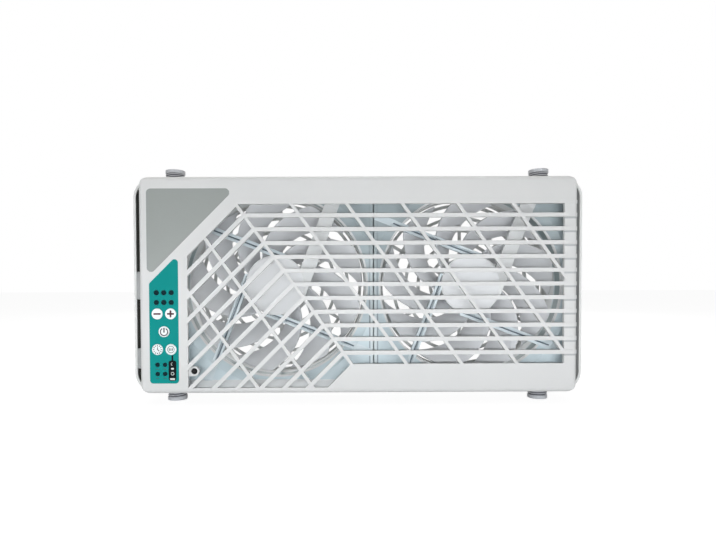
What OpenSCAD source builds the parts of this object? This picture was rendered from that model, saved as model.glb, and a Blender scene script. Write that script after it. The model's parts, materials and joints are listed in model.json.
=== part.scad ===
/* [Front cover] */
// Depth of the cover, from its foremost bars to its seat on the housing
cover_d = 8; // [7.5:0.5:10]
// Radius of the cover's four corners
corner_r = 8; // [6:0.5:12]
// Radius that softens the cover's front edges
edge_r = 3; // [1.5:0.5:4]
// Thickness of the cover's face
face_t = 2.5; // [2:0.1:3]
// Thickness of the cover's side walls
skirt_t = 2.2; // [1.8:0.1:3]
// How far the grille bars and the window rim stand proud of the face
proud = 0.8; // [0.3:0.1:1.2]

/* [Window] */
// Width of the control panel left of the window
panel_w = 33.8; // [32:0.1:38]
// Width of the border right of the window
border_r = 9.5; // [6:0.5:14]
// Width of the border above the window
border_t = 19.5; // [15:0.5:26]
// Width of the border under the right part of the window
border_b = 20.5; // [12:0.5:26]
// Width of the border under the left part of the window
border_low = 4; // [2.5:0.5:8]
// Leg of the slanting cut in the window's upper left corner
corner_cut = 36.3; // [28:0.1:44]
// Width of the raised rim along the top of the window
rim_w = 2.3; // [1.5:0.1:3]

/* [Grille] */
// Number of grille bars
bar_count = 11; // [7:1:13]
// Height of a grille bar
bar_h = 2.8; // [2:0.1:3.5]
// Distance from the window's edge to the middle of the first bar
bar_end = 8; // [5:0.5:12]
// Width of a cross rib
rib_w = 2.2; // [1.6:0.1:3.2]
// Level distance between two cross ribs
rib_pitch = 38.7; // [28:0.1:50]
// Lean of the cross ribs from upright, in degrees
rib_lean = 35.6; // [25:0.1:42]
// How far the cross ribs lie behind the front of the bars
rib_sink = 0.4; // [0.2:0.1:1]
// Distance from the slanting cut to the rib on which the bars bend
bend_inset = 2; // [0:0.5:6]

/* [Control panel] */
// Margin left of the control overlay
panel_margin = 7.1; // [6:0.1:8]
// Margin left of the badge
badge_margin = 5.7; // [5.2:0.1:8]
// Margin above the badge
badge_top = 8.5; // [6:0.5:10]
// Distance between the slanting edges of badge and window, measured level
badge_slant = 13.1; // [11:0.1:15]
// Distance between the slanting edges of overlay and window, measured level
overlay_slant = 7.9; // [6:0.1:9]
// Width of the control overlay
overlay_w = 20.4; // [19:0.1:21]
// Margin under the control overlay
overlay_low = 7.3; // [5:0.1:9]
// Thickness of the overlay and of the badge
overlay_t = 0.35; // [0.2:0.05:0.5]
// Radius of a key
key_r = 3.75; // [3:0.05:3.9]
// Travel of a key
key_travel = 0.6; // [0.3:0.1:0.8]
// Level distance between two keys side by side
key_pitch = 9.4; // [9.2:0.1:10]
// Gap round a key in its hole
key_gap = 0.2; // [0.1:0.05:0.3]
// Radius of a speed lamp
speed_led_r = 1.7; // [1:0.1:2]
// Radius of a timer lamp
timer_led_r = 1.45; // [1:0.05:1.8]
// Thickness of the control board
board_t = 1.4; // [1:0.1:1.6]
// Radius of the dome over the remote control receiver
ir_r = 2.2; // [1.5:0.1:2.5]

/* [Rear housing] */
// How far the housing stands out past the cover on each side
lip_w = 5.5; // [5:0.5:10]
// Overall depth, from the foremost bars to the back face
body_d = 46; // [44:1:60]
// Thickness of the housing's side walls
side_t = 1.6; // [1.4:0.1:2.5]
// Thickness of the housing's top, bottom and back walls
wall_t = 2.5; // [2:0.1:3]
// Radius of the housing's four corners
shell_r = 14; // [10:0.5:18]
// Radius that softens the housing's back edges
back_edge_r = 4; // [2:0.5:6]
// Depth of the groove between the cover's side and the housing's lip
groove_d = 1.5; // [1:0.1:3]
// Thickness of the ledge on which the cover seats
ledge_t = 1.5; // [1.2:0.1:2.5]
// How far the ledge reaches in from the housing's top and bottom
ledge_w = 5.5; // [4:0.1:5.5]
// Number of rings in a rear guard
guard_rings = 5; // [3:1:5]
// Width of a ring in a rear guard
guard_ring_w = 2.4; // [1.6:0.1:3]
// Number of spokes in a rear guard
guard_spokes = 6; // [3:1:8]

/* [Fans] */
// Width and height of a fan frame
fan_size = 140; // [136:1:146]
// Depth of a fan frame
fan_d = 25; // [25:1:27]
// Distance from a frame's edge to the middle of its fixing holes
hole_edge = 7.75; // [7.5:0.05:8]
// Distance from the housing's left side to the left fan
left_room = 29.7; // [28.5:0.1:40]
// Distance from the housing's right side to the right fan
fan_margin = 7.5; // [7:0.5:12]
// Distance from the housing's top and bottom to the fans
fan_room = 6; // [5.6:0.1:12]
// Gap between the two fans
fan_gap = 0.8; // [0.5:0.1:3]
// Thickness of a fan frame's flanges
flange_t = 3; // [2.5:0.1:3.4]
// Distance from a frame's side to the air passage at its nearest
duct_edge = 4.8; // [4.6:0.1:6]
// Width of the flare round the passage's mouth, cut off by the frame's sides
flare_w = 7.1; // [6:0.1:9]
// Depth of the flare
flare_d = 3; // [2:0.1:3.2]
// Radius of the fixed plate that carries the motor
base_r = 21.5; // [21.3:0.1:24]
// Width of a narrow strut
strut_w = 5; // [4:0.5:7]
// Width of the strut that carries the cable
cable_strut_w = 10.2; // [8:0.1:14]
// Direction of the cable strut, in degrees
strut_turn = 69; // [40:1:90]

/* [Impeller] */
// Number of blades
blade_count = 9; // [5:1:11]
// Radius of the impeller's hub
hub_r = 20.6; // [20:0.1:21]
// Gap between the blade tips and the air passage
tip_gap = 1; // [0.6:0.1:2]
// Share of its sector that a blade covers
blade_cover = 0.69; // [0.5:0.01:0.85]
// Greatest thickness of a blade
blade_t = 1.7; // [1.2:0.1:2.4]
// How far a blade's tip is turned on from its root, in degrees
blade_sweep = 55; // [0:1:60]
// How far the left impeller is turned at rest, in degrees
blade_start_l = 12.5; // [0:0.5:39.5]
// How far the right impeller is turned at rest, in degrees
blade_start_r = 19; // [0:0.5:39.5]
// Radius of the motor shaft
shaft_r = 1.5; // [1.3:0.1:2]

/* [Feet] */
// How far the feet stand out when they are screwed right in
foot_out = 8.5; // [6:0.5:12]
// Radius of a foot
foot_r = 7; // [6.5:0.1:8]
// Thickness of a foot's end pad
pad_t = 2.4; // [2:0.1:4]
// Distance of the feet from the housing's sides
foot_side = 24.7; // [23:0.1:26]
// Length of a foot's thread inside the housing
thread_in = 19.3; // [15:0.1:20]

/* [Power inlet] */
// Radius of the inlet's socket
socket_r = 2.85; // [2.7:0.05:3.2]
// Depth of the inlet's socket
socket_d = 9.5; // [8:0.5:12]
// Radius of the pin in the socket
pin_r = 1.05; // [0.9:0.05:1.3]

/* [Hidden] */
$fn = 64;

// Clearance between fixed pieces that lie side by side
fit_gap = 0.3;
// Radial clearance of a running fit
run_gap = 0.05;
// Overshoot of a cut past the face it opens
over = 1;
// How far a bar or rib runs into the border that holds it
grip = 1;

// Width of the rear housing, and width and height of the front cover
shell_w = left_room + 2 * fan_size + fan_gap + fan_margin;
cover_w = shell_w - 2 * lip_w;
cover_h = fan_size + 2 * fan_room;
// Height of the body's middle above the surface it stands on
mid_z = foot_out + cover_h / 2;
// Depth at which the cover's face ends
face_back = proud + face_t;
// Depth at which the housing's lip starts
lip_front = cover_d - groove_d;
// Depth at which the ledge under the cover ends
ledge_back = cover_d + ledge_t;
// Depth of the back wall's inner face
back_in = body_d - wall_t;

// Window outline
win_l = -cover_w / 2 + panel_w;
win_r = cover_w / 2 - border_r;
win_t = cover_h / 2 - border_t;
win_b = -cover_h / 2 + border_b;
low_b = -cover_h / 2 + border_low;
cut_line = win_t - corner_cut - win_l;
bend_top = win_l + corner_cut - bend_inset;
lean = tan(rib_lean);
bar_pitch = (win_t - win_b - 2 * bar_end) / (bar_count - 1);
ribs_left = 2;

// Control panel
panel_l = -cover_w / 2 + panel_margin;
panel_mid = panel_l + overlay_w / 2;
overlay_b = -cover_h / 2 + overlay_low;
recess_back = proud + 0.05 + overlay_t;
speed_rows = [63.7, 56.9];
speed_cols = [-5.2, 0, 5.2];
timer_rows = [13.2, 6.7];
timer_cols = [-4.8, 0.4];
led_gap = 0.15;
key_flange = 0.7;
key_flange_t = 0.6;
switch_gap = key_travel + fit_gap;
plunger_h = 0.5;
switch_h = 1.3;
switch_w = 4.2;
key_front = proud - 0.15;
key_back = face_back + fit_gap + key_flange_t;
board_front = key_back + switch_gap + plunger_h + switch_h;
board_w = 25;
board_margin = 1.5;
board_l = -cover_w / 2 + skirt_t + board_margin;
board_b = overlay_b + 3;
board_h = 88;
chip_place = [7, 48];
chip_w = 7;
coil_place = [13, 26];
coil_size = [4, 9];
socket_place = [8, 66];
socket_size = [12, 5];
inlet_place = [4, 26];
inlet_size = [5, 6];
board_screw_inset = 2.8;
board_screw_r = 1;
key_places = [
    [-key_pitch / 2, 48.9], [key_pitch / 2, 48.9], [0, 36.4],
    [-key_pitch / 2, 23.9], [key_pitch / 2, 23.9]
];

// Remote control receiver, in a lug at the window's lower left
ir_place = [win_l + 3.9, low_b + 11.6];
lug_r = ir_r + 1.2;
lug_front = face_back - 1;

// Screws
cover_screw_r = 1.45;
cover_screw_x = -cover_w / 2 + 3.9;
cover_screw_z = cover_h / 2 - wall_t - 2.7;
cover_post_r = 3.2;
cover_head_r = 2.2;
cover_head_t = 1.8;
cover_head_d = 20;
fan_screw_r = 2.1;
fan_head_r = 3.6;
fan_head_t = 2.2;
head_gap = 0.3;
fan_post_r = 5.4;

// Fans
fan_front = ledge_back + fit_gap;
fan_back = fan_front + fan_d;
fan_pitch = fan_size + fan_gap;
fan_right_x = shell_w / 2 - fan_margin - fan_size / 2;
fan_x = [fan_right_x - fan_pitch, fan_right_x];
fan_holes = fan_size - 2 * hole_edge;
duct_r = fan_size / 2 - duct_edge;
flare_r = duct_r + flare_w;
duct_wall = 1.5;
outlet_r = duct_r + 1.3;
duct_out = outlet_r + duct_wall;
guard_hub = 13;
guard_in = outlet_r - 1.5;
guard_pitch = (guard_in - guard_hub) / (guard_rings + 0.3);
fan_corner_r = 6;
strut_z = 0.9;
strut_t = 3.5;
strut_offset = base_r - 0.5;
cable_offset = base_r - 4;
strut_groove = 1.9;
strut_count = 4;
strut_floor = 1.2;
strut_end = flare_r + 5;
label_t = 0.3;
base_back = 2.9;
rim_back = 4.2;
bearing_r = 4;
bearing_h = 4;
tube_r = 5;
tube_end = 18.6;

// Impeller, measured from the fan's front face
hub_wall = 1.6;
hub_front = rim_back + 1;
hub_face = fan_d - 2.4;
hub_back = fan_d - 0.8;
hub_round = 2;
boss_r = 3.6;
boss_front = tube_end + 0.9;
yoke_r = hub_r - hub_wall;
yoke_t = 1;
magnet_r = yoke_r - yoke_t;
magnet_t = 1.8;
magnet_ends = [6, 20.6];
core_r = magnet_r - magnet_t - 0.5;
core_ends = [9.6, 16.8];
core_arms = 4;
arm_w = 4.4;
shoe_t = 2.2;
coil_wall = 2;
coil_front = core_ends[0] - coil_wall;
motor_board_t = 1.2;
tip_r = duct_r - tip_gap;
blade_ends = [5.6, 22.4];
blade_rise_tip = 0.66;
blade_set_back = 0.08;
blade_rows = 8;
blade_steps = 5;
blade_root = hub_r - 0.6;
edge_t = 0.5;
ring_groove = [3, 3.5];

// Leads, as a bundle of wires in one sleeve
lead_r = 0.8;
lead_level = base_back + lead_r + 0.15;
lead_start = [2.5, core_r - lead_r];
lead_top = (fan_size + cover_h - 2 * wall_t) / 4;
lead_set = [4.3, 8];
lead_depth = [for (set = lead_set) fan_front + set];
lead_dip = 8;
lead_drop = [30, 39];
lead_drop_x = -cover_w / 2 + lead_drop[0];
lead_drop_z = cover_h / 2 - lead_drop[1];
lead_x = [board_l + socket_place[0] + 7.3, board_l + socket_place[0] + 3.3];

// Feet
foot_x = shell_w / 2 - foot_side;
thread_r = foot_r - 0.15;
spigot_r = 3;
spigot_h = 1.4;
pad_gap = 0.1;
foot_depth = fan_front + fan_d / 2;
insert_r = foot_r + 1.1;
collar_r = foot_r + 1.9;
insert_floor = 1.5;
collar_t = (cover_h - 2 * wall_t - fan_size) / 2 - fit_gap;

// Seals and clips in the side grooves
groove_l = cover_w / 2 + fit_gap;
groove_w = lip_w - side_t - 2 * fit_gap;
seal_margin = 8;
seal_end = cover_h / 2 - seal_margin;
groove_end = seal_end + 4;
clip_top = [-9.5, 9.5];
clip_low = [-59, -45];
seal_t = 1.1;
clip_t = 1.7;

// Power inlet
inlet_z = -30;
inlet_depth = 28;
nose_r = socket_r + 1.25;
pin_front = 1.2;
pin_root = 0.4;
pin_root_r = pin_r - 0.3;
pin_seat = 3;
inlet_body = [13, 10, 11];

function dy(d) = d - body_d / 2;
function bend_x(z) = bend_top + (win_t - z) * lean;
function bar_z(i) = win_t - bar_end - i * bar_pitch;
function mitre(g) = g * (sqrt(2) - 1);

// Window outline, grown outwards by g on every side
function window_pts(g) = [
    [win_l - g, low_b - g],
    [bend_x(win_b) - (win_b - low_b) + mitre(g), low_b - g],
    [bend_x(win_b) + mitre(g), win_b - g],
    [win_r + g, win_b - g],
    [win_r + g, win_t + g],
    [win_l + corner_cut - mitre(g), win_t + g],
    [win_l - g, win_t - corner_cut + mitre(g)]
];

function unit(v) = v / norm(v);
// Arc that rounds the corner b between a and c with radius r
function corner_arc(a, b, c, r, n = 6) =
    let (u = unit(a - b), v = unit(c - b))
    let (half = acos(u * v) / 2)
    let (m = b + unit(u + v) * r / sin(half))
    let (p = b + u * r / tan(half) - m, q = b + v * r / tan(half) - m)
    [for (i = [0 : n]) m + r * unit(p * (n - i) / n + q * i / n)];
function rounded(pts, r) = let (n = len(pts)) [
    for (i = [0 : n - 1]) each corner_arc(pts[(i + n - 1) % n], pts[i], pts[(i + 1) % n], r)
];

// Outline in the front plane, drawn out between two depths
module slab(from, to) {
    translate([0, dy(to), mid_z])
        rotate([90, 0, 0])
            linear_extrude(to - from)
                children();
}

module post(x, z, r, from, to) {
    slab(from, to)
        translate([x, z])
            circle(r);
}

module round_rect(w, h, r) {
    square([w - 2 * r, h], center = true);
    square([w, h - 2 * r], center = true);
    for (x = [-1, 1], y = [-1, 1])
        translate([x * (w / 2 - r), y * (h / 2 - r)])
            circle(r);
}

// Depth profile of a block whose front or back edges are rounded
module edge_profile(span, from, to, edge, at_front) {
    depth = to - from;
    translate([dy(from) + (at_front ? edge : 0), -span / 2])
        square([depth - edge, span]);
    translate([dy(from), -span / 2 + edge])
        square([depth, span - 2 * edge]);
    for (s = [-1, 1])
        translate([at_front ? dy(from) + edge : dy(to) - edge, s * (span / 2 - edge)])
            circle(edge);
}

module soft_block(w, h, r, from, to, edge, at_front) {
    intersection() {
        slab(from, to)
            round_rect(w, h, r);
        translate([-w / 2, 0, mid_z])
            rotate([90, 0, 90])
                linear_extrude(w)
                    edge_profile(h, from, to, edge, at_front);
        translate([0, 0, mid_z - h / 2])
            linear_extrude(h)
                rotate(90)
                    edge_profile(w, from, to, edge, at_front);
    }
}

module bar_outline() {
    reach = cover_w;
    for (i = [0 : bar_count - 1]) {
        z = bar_z(i);
        b = bend_x(z);
        translate([b, z - bar_h / 2])
            square([cover_w / 2 - b, bar_h]);
        translate([b, z])
            rotate(225)
                translate([0, -bar_h / 2])
                    square([reach, bar_h]);
        translate([b, z])
            circle(bar_h / 2);
    }
}

module rib_outline() {
    half = rib_w / 2 / cos(rib_lean);
    top = win_t + grip;
    low = low_b - grip;
    last = floor((win_r - bend_x(win_t)) / rib_pitch);
    for (k = [-ribs_left : last])
        polygon([
            [bend_x(top) + k * rib_pitch - half, top],
            [bend_x(top) + k * rib_pitch + half, top],
            [bend_x(low) + k * rib_pitch + half, low],
            [bend_x(low) + k * rib_pitch - half, low]
        ]);
}

// Rim over the window and along its slanting cut
module rim_outline() {
    difference() {
        polygon(window_pts(rim_w));
        polygon(window_pts(0));
        translate([-cover_w / 2, -cover_h / 2])
            square([cover_w, cover_h / 2 + win_t - corner_cut]);
        translate([win_r - over, win_b])
            square([border_r + over, win_t - win_b]);
    }
    translate([win_r - grip, win_t])
        square([border_r + grip, rim_w]);
}

module grille() {
    slab(0, face_back)
        intersection() {
            bar_outline();
            union() {
                polygon(window_pts(grip));
                translate([win_r, win_b])
                    square([border_r, win_t - win_b]);
            }
        }
    slab(rib_sink, face_back)
        intersection() {
            rib_outline();
            polygon(window_pts(grip));
        }
    slab(0, face_back)
        rim_outline();
}

// Receiver's lug, a round ear behind the window's left border
module lug() {
    slab(lug_front, face_back + 2) {
        translate(ir_place)
            circle(lug_r);
        translate([win_l - grip, ir_place[1] - lug_r])
            square([ir_place[0] - win_l + grip, 2 * lug_r]);
    }
}

module at_board_screws() {
    for (x = [0, 1], z = [0, 1])
        translate([
            board_l + board_screw_inset + x * (board_w - 2 * board_screw_inset),
            board_b + board_screw_inset + z * (board_h - 2 * board_screw_inset)
        ])
            children();
}

module at_cover_screws() {
    for (s = [-1, 1])
        translate([cover_screw_x, s * cover_screw_z])
            children();
}

module at_keys() {
    for (p = key_places)
        translate([panel_mid, overlay_b] + p)
            children();
}

module at_leds(cols, rows) {
    for (x = cols, z = rows)
        translate([panel_mid + x, overlay_b + z])
            children();
}

// Two pegs that sit in the right fan's outer fixing holes
module locating_pegs() {
    for (s = [-1, 1]) {
        x = fan_x[1] + fan_holes / 2;
        z = s * fan_holes / 2;
        post(x, z, fan_screw_r, face_back - grip, fan_front + flange_t);
        post(x, z, fan_screw_r + 1.2, face_back - grip, fan_front - fit_gap);
    }
}

module badge_outline() {
    line = cut_line + badge_slant;
    top = cover_h / 2 - badge_top;
    left = -cover_w / 2 + badge_margin;
    polygon(rounded([[left, top], [top - line, top], [left, left + line]], 3));
}

module overlay_outline() {
    line = cut_line + overlay_slant;
    right = panel_l + overlay_w;
    polygon(rounded([
        [panel_l, overlay_b], [right, overlay_b], [right, right + line], [panel_l, panel_l + line]
    ], 2.4));
}

module front_cover() {
    color([0.87, 0.87, 0.86])
        difference() {
            union() {
                difference() {
                    soft_block(cover_w, cover_h, corner_r, proud, cover_d, edge_r, true);
                    slab(face_back, cover_d + over)
                        round_rect(cover_w - 2 * skirt_t, cover_h - 2 * skirt_t, corner_r - skirt_t);
                    slab(-over, cover_d)
                        polygon(window_pts(0));
                }
                intersection() {
                    grille();
                    soft_block(cover_w, cover_h, corner_r, 0, cover_d, edge_r, true);
                }
                lug();
                locating_pegs();
                slab(face_back - grip, board_front)
                    at_board_screws()
                        circle(board_screw_r + 1.3);
                slab(face_back - grip, cover_d)
                    at_cover_screws()
                        circle(cover_post_r - 0.6);
            }
            slab(-over, recess_back)
                badge_outline();
            slab(-over, recess_back)
                overlay_outline();
            slab(-over, face_back + over)
                at_keys()
                    circle(key_r + key_gap);
            slab(-over, face_back + over)
                at_leds(speed_cols, speed_rows)
                    circle(speed_led_r + led_gap);
            slab(-over, face_back + over)
                at_leds(timer_cols, timer_rows)
                    circle(timer_led_r + led_gap);
            slab(face_back, board_front + over)
                at_board_screws()
                    circle(board_screw_r);
            slab(face_back + 0.4, cover_d + over)
                at_cover_screws()
                    circle(cover_screw_r);
            post(ir_place[0], ir_place[1], ir_r, -over, board_front);
        }
}

module badge_plate() {
    color([0.64, 0.66, 0.64])
        slab(recess_back - overlay_t, recess_back)
            badge_outline();
}

module control_overlay() {
    color([0.05, 0.6, 0.57])
        slab(recess_back - overlay_t, recess_back)
            difference() {
                overlay_outline();
                at_keys()
                    circle(key_r + key_gap);
                at_leds(speed_cols, speed_rows)
                    circle(speed_led_r + led_gap);
                at_leds(timer_cols, timer_rows)
                    circle(timer_led_r + led_gap);
            }
}

module key(i) {
    x = panel_mid + key_places[i][0];
    z = overlay_b + key_places[i][1];
    color([0.93, 0.94, 0.94]) {
        post(x, z, key_r, key_front, key_back);
        post(x, z, key_r + key_flange, key_back - key_flange_t, key_back);
    }
}

module control_board() {
    color([0.1, 0.38, 0.24])
        difference() {
            union() {
                slab(board_front, board_front + board_t)
                    translate([board_l, board_b])
                        square([board_w, board_h]);
                // Controller, regulator and connector on the board's back
                slab(board_front + board_t - 0.1, board_front + board_t + 1)
                    translate([board_l, board_b]) {
                        translate(chip_place)
                            square(chip_w);
                        translate(inlet_place)
                            square(inlet_size);
                        translate(coil_place)
                            square(coil_size);
                        translate(socket_place)
                            square(socket_size);
                    }
            }
            slab(board_front - over, board_front + board_t + over)
                at_board_screws()
                    circle(board_screw_r + 0.1);
        }
}

module tact_switches() {
    color([0.15, 0.15, 0.16]) {
        slab(board_front - switch_h, board_front)
            at_keys()
                square(switch_w, center = true);
        slab(board_front - switch_h - plunger_h, board_front - switch_h)
            at_keys()
                circle(1.1);
    }
}

module led_group(cols, rows, r) {
    slab(recess_back - overlay_t, board_front)
        at_leds(cols, rows)
            circle(r);
}

module speed_leds() {
    color([0.05, 0.07, 0.08])
        led_group(speed_cols, speed_rows, speed_led_r);
}

module timer_leds() {
    color([0.06, 0.22, 0.24])
        led_group(timer_cols, timer_rows, timer_led_r);
}

module ir_receiver() {
    color([0.04, 0.04, 0.05])
        translate([ir_place[0], dy(lug_front + 0.4), mid_z + ir_place[1]]) {
            difference() {
                sphere(ir_r);
                translate([-ir_r - over, 0, -ir_r - over])
                    cube([2 * (ir_r + over), ir_r + over, 2 * (ir_r + over)]);
            }
            rotate([-90, 0, 0])
                cylinder(r = ir_r, h = face_back + 1.6 - lug_front);
        }
}

module rear_housing() {
    inner_w = shell_w - 2 * side_t;
    inner_h = cover_h - 2 * wall_t;
    inner_r = shell_r - wall_t;
    color([0.88, 0.89, 0.88])
        difference() {
            union() {
                difference() {
                    soft_block(shell_w, cover_h, shell_r, lip_front, body_d, back_edge_r, false);
                    slab(ledge_back, back_in)
                        round_rect(inner_w, inner_h, inner_r);
                    // Room for the cover, and the opening inside the ledge
                    slab(lip_front - over, cover_d)
                        square([cover_w + 2 * fit_gap, cover_h + 2 * over], center = true);
                    slab(cover_d - over, ledge_back + over)
                        round_rect(cover_w - 2 * skirt_t, cover_h - 2 * ledge_w, corner_r - skirt_t);
                    // Side grooves for seals and clips
                    slab(lip_front - over, cover_d)
                        intersection() {
                            groove_outline(0);
                            square([inner_w, 2 * groove_end], center = true);
                        }
                }
                // Round collars that carry the air on from the fans
                for (x = fan_x)
                    post(x, 0, duct_out, fan_back, body_d - over);
                // Seats for the fans' fixing screws
                for (x = fan_x, sx = [-1, 1], sz = [-1, 1])
                    post(x + sx * fan_holes / 2, sz * fan_holes / 2, fan_post_r, fan_back, body_d - over);
                // Long posts for the cover's screws
                slab(cover_d, body_d - over)
                    at_cover_screws()
                        circle(cover_post_r);
            }
            for (x = fan_x) {
                post(x, 0, outlet_r, fan_back - over, body_d + over);
                post(x, 0, duct_out + 1, back_in + 1, body_d + over);
                for (sx = [-1, 1], sz = [-1, 1]) {
                    px = x + sx * fan_holes / 2;
                    pz = sz * fan_holes / 2;
                    post(px, pz, fan_screw_r + run_gap, fan_back - over, body_d);
                    post(px, pz, fan_head_r + head_gap, body_d - fan_head_t - head_gap, body_d + over);
                }
            }
            slab(cover_d - over, body_d)
                at_cover_screws()
                    circle(cover_screw_r + run_gap);
            slab(cover_head_d, body_d + over)
                at_cover_screws()
                    circle(cover_head_r + head_gap);
            // Holes for the four feet
            for (x = [-1, 1])
                translate([x * foot_x, dy(foot_depth), foot_out - over])
                    cylinder(r = foot_r + fit_gap, h = cover_h + 2 * over);
            // Hole for the power inlet
            translate([-shell_w / 2 - over, dy(inlet_depth), mid_z + inlet_z])
                rotate([0, 90, 0])
                    cylinder(r = nose_r + run_gap, h = side_t + 2 * over);
        }
}

module rear_guard(i) {
    seat_r = duct_out + 1 - run_gap;
    color([0.84, 0.85, 0.85])
        translate([fan_x[i], dy(back_in + 1), mid_z])
            rotate([-90, 0, 0]) {
                guard_t = body_d - back_in - 1;
                difference() {
                    cylinder(r = seat_r, h = guard_t);
                    translate([0, 0, -over])
                        cylinder(r = guard_in, h = guard_t + 2 * over);
                }
                for (k = [1 : guard_rings])
                    difference() {
                        cylinder(r = guard_hub + k * guard_pitch + guard_ring_w / 2, h = guard_t);
                        translate([0, 0, -over])
                            cylinder(r = guard_hub + k * guard_pitch - guard_ring_w / 2, h = guard_t + 2 * over);
                    }
                cylinder(r = guard_hub, h = guard_t);
                for (k = [0 : guard_spokes - 1])
                    rotate(30 + k * 360 / guard_spokes)
                        translate([guard_hub - over, -guard_ring_w / 2, 0])
                            cube([guard_in - guard_hub + 2 * over, guard_ring_w, guard_t]);
            }
}

// Inside of the lip round the housing's front, drawn in by g
module groove_outline(g) {
    round_rect(shell_w - 2 * (side_t + g), cover_h - 2 * (side_t + g), shell_r - side_t - g);
}

// Strip in a side groove, on the left with side -1 and on the right with 1
module groove_strip(side, low, high, t) {
    slab(cover_d - t, cover_d)
        intersection() {
            groove_outline(fit_gap);
            translate([side * (groove_l + groove_w / 2), (low + high) / 2])
                square([groove_w, high - low], center = true);
        }
}

module seal_left() {
    color([0.16, 0.17, 0.15]) {
        groove_strip(-1, clip_top[1] + fit_gap, seal_end, seal_t);
        groove_strip(-1, clip_low[1] + fit_gap, clip_top[0] - fit_gap, seal_t);
        groove_strip(-1, -seal_end, clip_low[0] - fit_gap, seal_t);
    }
}

module seal_right() {
    color([0.3, 0.3, 0.3])
        groove_strip(1, -seal_end, seal_end, seal_t);
}

module cover_clips() {
    color([0.62, 0.63, 0.62])
        for (ends = [clip_top, clip_low]) {
            groove_strip(-1, ends[0], ends[1], clip_t);
            // Finger ridge
            slab(lip_front - 0.9, cover_d - clip_t)
                translate([-groove_l - groove_w / 2, ends[0] + 2.5])
                    square([groove_w - 1, 1.6], center = true);
        }
}

module cover_screws() {
    color([0.6, 0.6, 0.62]) {
        slab(face_back + 0.8, cover_head_d)
            at_cover_screws()
                circle(cover_screw_r);
        slab(cover_head_d, cover_head_d + cover_head_t)
            at_cover_screws()
                circle(cover_head_r);
    }
}

module board_screws() {
    color([0.6, 0.6, 0.62]) {
        slab(face_back + 0.3, board_front + board_t)
            at_board_screws()
                circle(board_screw_r);
        slab(board_front + board_t, board_front + board_t + 1)
            at_board_screws()
                circle(board_screw_r + 0.9);
    }
}

module fan_screws() {
    color([0.6, 0.6, 0.62])
        for (x = fan_x, sx = [-1, 1], sz = [-1, 1]) {
            px = x + sx * fan_holes / 2;
            pz = sz * fan_holes / 2;
            head = body_d - fan_head_t - head_gap;
            post(px, pz, fan_screw_r, fan_back - flange_t + 0.5, head + 0.1);
            difference() {
                post(px, pz, fan_head_r, head, head + fan_head_t);
                slab(head + 1, head + fan_head_t + over)
                    translate([px, pz]) {
                        square([3.6, 0.9], center = true);
                        square([0.9, 3.6], center = true);
                    }
            }
        }
}

// Lead laid along a list of points
module lead(points) {
    for (k = [0 : len(points) - 2]) {
        way = points[k + 1] - points[k];
        translate(points[k])
            rotate([0, acos(way[2] / norm(way)), atan2(way[1], way[0])])
                cylinder(r = lead_r, h = norm(way), $fn = 10);
        if (k > 0)
            translate(points[k])
                sphere(lead_r, $fn = 10);
    }
}

// Point in a fan's strut direction: along the strut, beside it, and behind the fan's front
function strut_point(i, along, beside, level) = [
    fan_x[i] + along * cos(strut_turn) + beside * sin(strut_turn),
    dy(fan_front + level),
    mid_z + along * sin(strut_turn) - beside * cos(strut_turn)
];

module fan_lead(i) {
    out = strut_point(i, duct_out + 1, cable_offset, lead_level);
    color(i == 0 ? [0.75, 0.12, 0.1] : [0.12, 0.12, 0.13])
        lead([
            strut_point(i, lead_start[0], lead_start[1], coil_front - motor_board_t),
            strut_point(i, lead_start[0], lead_start[1], lead_level),
            strut_point(i, lead_start[0] + 3.5, cable_offset, lead_level),
            out,
            [out[0], dy(lead_depth[i]), mid_z + lead_top - lead_dip],
            [out[0], dy(lead_depth[i]), mid_z + lead_top],
            [lead_drop_x, dy(lead_depth[i]), mid_z + lead_top],
            [lead_drop_x, dy(lead_depth[i]), mid_z + lead_drop_z],
            [lead_x[i], dy(lead_depth[i]), mid_z + lead_drop_z],
            [lead_x[i], dy(board_front + board_t + lead_r), mid_z + lead_drop_z],
            [lead_x[i], dy(board_front + board_t + lead_r), mid_z + board_b + socket_place[1] + 5]
        ]);
}

module power_lead() {
    x = board_l + inlet_place[0] + 2.5;
    z = mid_z + board_b + inlet_place[1] + 3;
    color([0.12, 0.12, 0.13])
        lead([
            [-shell_w / 2 + side_t + inlet_body[0], dy(inlet_depth), mid_z + inlet_z],
            [x, dy(inlet_depth), mid_z + inlet_z],
            [x, dy(inlet_depth), z],
            [x, dy(board_front + board_t + 1), z]
        ]);
}

module dc_inlet() {
    color([0.1, 0.1, 0.11])
        translate([-shell_w / 2, dy(inlet_depth), mid_z + inlet_z])
            difference() {
                union() {
                    rotate([0, 90, 0])
                        cylinder(r = nose_r, h = side_t + over);
                    translate([side_t, -inlet_body[1] / 2, -inlet_body[2] / 2])
                        cube(inlet_body);
                }
                rotate([0, 90, 0])
                    translate([0, 0, -over])
                        cylinder(r = socket_r, h = socket_d + over);
                rotate([0, 90, 0])
                    cylinder(r = pin_root_r, h = socket_d + pin_seat);
            }
}

module dc_pin() {
    color([0.75, 0.68, 0.5])
        translate([-shell_w / 2, dy(inlet_depth), mid_z + inlet_z])
            rotate([0, 90, 0]) {
                translate([0, 0, pin_front])
                    cylinder(r = pin_r, h = socket_d - pin_root - pin_front);
                translate([0, 0, socket_d - pin_root])
                    cylinder(r = pin_root_r, h = pin_root + pin_seat);
            }
}

// Fan's own frame: its axis is local Z, which runs from front to back
module in_fan(i) {
    translate([fan_x[i], dy(fan_front), mid_z])
        rotate([-90, 0, 0])
            children();
}

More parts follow.
